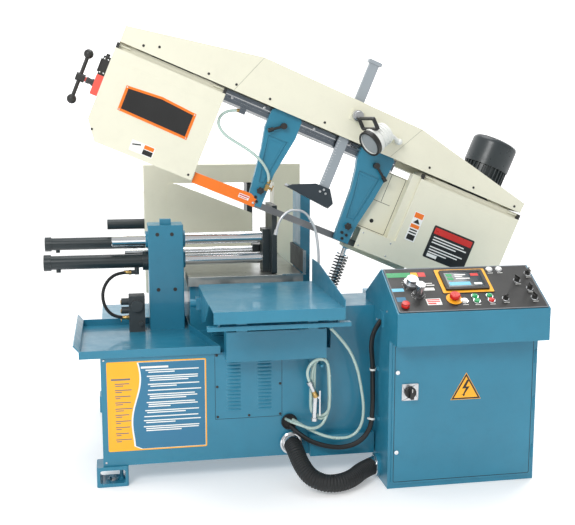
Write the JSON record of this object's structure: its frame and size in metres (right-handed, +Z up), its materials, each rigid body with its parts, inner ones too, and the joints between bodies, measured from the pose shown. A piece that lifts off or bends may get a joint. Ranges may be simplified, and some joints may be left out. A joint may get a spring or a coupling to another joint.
{
  "type": "horizontal band saw",
  "caption": "Semi-automatic horizontal metal-cutting band saw: pivoting bow with band wheels, guide arms, vise, shuttle feed, base cabinet and control console.",
  "frame": {"origin": "on the floor at the centre of the anchor holes", "axes": "+X right along the vise bars, +Y to the back along the bed, +Z up; the bow stands raised by 22.6 degrees"},
  "size_m": [2.2063, 1.715, 1.7947],
  "materials": {
    "teal_paint": "hammered",
    "cream_paint": "satin",
    "orange_paint": "satin",
    "black_paint": "satin",
    "grey_paint": "satin",
    "machined_steel": "ground",
    "blade_steel": "rolled",
    "chrome": "polished",
    "cast_iron": "painted",
    "motor_paint": "satin",
    "black_rubber": "matt",
    "clear_hose": "clear",
    "white_plastic": "gloss",
    "black_plastic": "satin",
    "red_plastic": "gloss",
    "green_plastic": "gloss",
    "aluminium": "turned",
    "silver_pipe": "satin"
  },
  "bodies": {
    "base": {"base_cabinet": "teal_paint", "base_feet": "teal_paint", "drip_tray": "teal_paint", "pivot_pedestal": "teal_paint", "hydraulic_unit": "cast_iron", "bed_plate": "machined_steel", "vise_post": "teal_paint", "fixed_jaw": "machined_steel", "jaw_column": "teal_paint", "vise_cylinder": "black_paint", "discharge_tray": "teal_paint", "infeed_frame": "teal_paint", "console_cabinet": "teal_paint", "console_panel": "black_plastic", "touch_screen": "black_plastic", "coolant_pipe": "silver_pipe", "lift_barrel": "black_paint", "conduit_hose": "black_rubber", "control_loom": "black_rubber", "drain_hose": "clear_hose", "wash_hose": "clear_hose", "wash_coil": "clear_hose", "spray_gun": "aluminium", "vise_hose": "black_rubber"},
    "head": {"head_frame": "cream_paint", "top_cover": "cream_paint", "wheel_housings": "cream_paint", "guide_rail": "machined_steel", "blade": "blade_steel", "gearbox": "cast_iron", "motor": "motor_paint", "tension_unit": "red_plastic", "coolant_hose": "clear_hose"},
    "drive_wheel": {"drive_wheel": "cast_iron"},
    "idler_wheel": {"idler_wheel": "cast_iron"},
    "left_cover": {"left_cover": "cream_paint"},
    "right_cover": {"right_cover": "cream_paint"},
    "left_arm": {"left_arm": "teal_paint", "blade_guard": "orange_paint"},
    "right_arm": {"right_arm": "teal_paint"},
    "left_lever": {"left_lever": "black_plastic"},
    "right_lever": {"right_lever": "black_plastic"},
    "height_bar": {"height_bar": "grey_paint"},
    "bar_knob": {"bar_knob": "aluminium"},
    "work_lamp": {"work_lamp": "white_plastic"},
    "tension_handle": {"tension_handle": "black_plastic"},
    "vise_jaw": {"vise_jaw": "black_paint", "vise_bars": "chrome"},
    "shuttle": {"shuttle": "cream_paint", "shuttle_cylinder": "black_paint"},
    "shuttle_jaw": {"shuttle_jaw": "black_paint"},
    "lift_rod": {"lift_rod": "chrome", "lift_spring": "black_paint"},
    "infeed_roller": {"infeed_roller": "machined_steel"},
    "console_door": {"console_door": "teal_paint"},
    "main_switch": {"main_switch": "black_plastic"},
    "e_stop": {"e_stop": "red_plastic"},
    "start_button": {"start_button": "green_plastic"},
    "pressure_knob": {"pressure_knob": "aluminium"},
    "feed_knob": {"feed_knob": "aluminium"}
  },
  "joints": [
    {"name": "head_swing", "type": "hinge", "parent": "base", "child": "head", "pos_m": [0.647, -0.06, 0.69703], "axis": [0, 1, 0], "range_deg": [-22.6, 4]},
    {"name": "lift_stroke", "type": "slide", "parent": "base", "child": "lift_rod", "axis": [0.3427, 0, 0.9394], "range_m": [-0.149, 0.028]},
    {"name": "drive_spin", "type": "hinge", "parent": "head", "child": "drive_wheel", "pos_m": [0.77569, -0.173, 0.93593], "axis": [0, 1, 0], "continuous": true},
    {"name": "idler_spin", "type": "hinge", "parent": "head", "child": "idler_wheel", "pos_m": [-0.51126, -0.173, 1.47163], "axis": [0, 1, 0], "continuous": true},
    {"name": "left_cover_hinge", "type": "hinge", "parent": "head", "child": "left_cover", "pos_m": [-0.44009, -0.218, 1.63481], "axis": [-0.9232, 0, 0.3843], "range_deg": [0, 68]},
    {"name": "right_cover_hinge", "type": "hinge", "parent": "head", "child": "right_cover", "pos_m": [0.84163, -0.218, 1.09695], "axis": [-0.9232, 0, 0.3843], "range_deg": [0, 19]},
    {"name": "left_arm_slide", "type": "slide", "parent": "head", "child": "left_arm", "axis": [0.9232, 0, -0.3843], "range_m": [0, 0.055]},
    {"name": "right_arm_slide", "type": "slide", "parent": "head", "child": "right_arm", "axis": [0.9232, 0, -0.3843], "range_m": [-0.03, 0.014]},
    {"name": "left_lever_turn", "type": "hinge", "parent": "left_arm", "child": "left_lever", "pos_m": [0.0133, -0.225, 1.39951], "axis": [0, 1, 0], "range_deg": [-30, 30]},
    {"name": "right_lever_turn", "type": "hinge", "parent": "right_arm", "child": "right_lever", "pos_m": [0.41451, -0.225, 1.23141], "axis": [0, 1, 0], "range_deg": [-30, 30]},
    {"name": "height_bar_slide", "type": "slide", "parent": "head", "child": "height_bar", "axis": [0.3843, 0, 0.9232], "range_m": [-0.08, 0.05]},
    {"name": "bar_knob_turn", "type": "hinge", "parent": "head", "child": "bar_knob", "pos_m": [0.31921, -0.265, 1.44223], "axis": [0, 1, 0], "range_deg": [-90, 90]},
    {"name": "lamp_tilt", "type": "hinge", "parent": "head", "child": "work_lamp", "pos_m": [0.49617, -0.262, 1.3339], "axis": [0, 1, 0], "range_deg": [-25, 15]},
    {"name": "tension_turn", "type": "hinge", "parent": "head", "child": "tension_handle", "pos_m": [-0.81331, -0.085, 1.59953], "axis": [0.9232, 0, -0.3843], "continuous": true},
    {"name": "vise_stroke", "type": "slide", "parent": "base", "child": "vise_jaw", "axis": [1, 0, 0], "range_m": [-0.3, 0.108]},
    {"name": "shuttle_feed", "type": "slide", "parent": "base", "child": "shuttle", "axis": [0, 1, 0], "range_m": [-0.33, 0.05]},
    {"name": "shuttle_jaw_stroke", "type": "slide", "parent": "shuttle", "child": "shuttle_jaw", "axis": [1, 0, 0], "range_m": [-0.3, 0.1]},
    {"name": "infeed_roll", "type": "hinge", "parent": "base", "child": "infeed_roller", "pos_m": [-0.142, 0.79, 0.734], "axis": [1, 0, 0], "continuous": true},
    {"name": "door_swing", "type": "hinge", "parent": "base", "child": "console_door", "pos_m": [0.927, -0.748, 0.3], "axis": [0, 0, 1], "range_deg": [0, 110]},
    {"name": "main_switch_turn", "type": "hinge", "parent": "console_door", "child": "main_switch", "pos_m": [0.412, -0.76, 0.39], "axis": [0, 1, 0], "range_deg": [0, 90]},
    {"name": "e_stop_press", "type": "slide", "parent": "base", "child": "e_stop", "axis": [0, -0.4933, 0.8698], "range_m": [-0.004, 0]},
    {"name": "start_press", "type": "slide", "parent": "base", "child": "start_button", "axis": [0, -0.4933, 0.8698], "range_m": [-0.0027, 0]},
    {"name": "pressure_turn", "type": "hinge", "parent": "base", "child": "pressure_knob", "pos_m": [0.424, -0.69854, 0.79979], "axis": [0, -0.4933, 0.8698], "range_deg": [-135, 135]},
    {"name": "feed_turn", "type": "hinge", "parent": "base", "child": "feed_knob", "pos_m": [0.435, -0.7542, 0.76822], "axis": [0, -0.4933, 0.8698], "range_deg": [-135, 135]}
  ],
  "couplings": [
    {"joint": "lift_stroke", "follows": "head_swing", "m_per_rad": 0.372},
    {"joint": "idler_spin", "follows": "drive_spin", "ratio": 1}
  ]
}
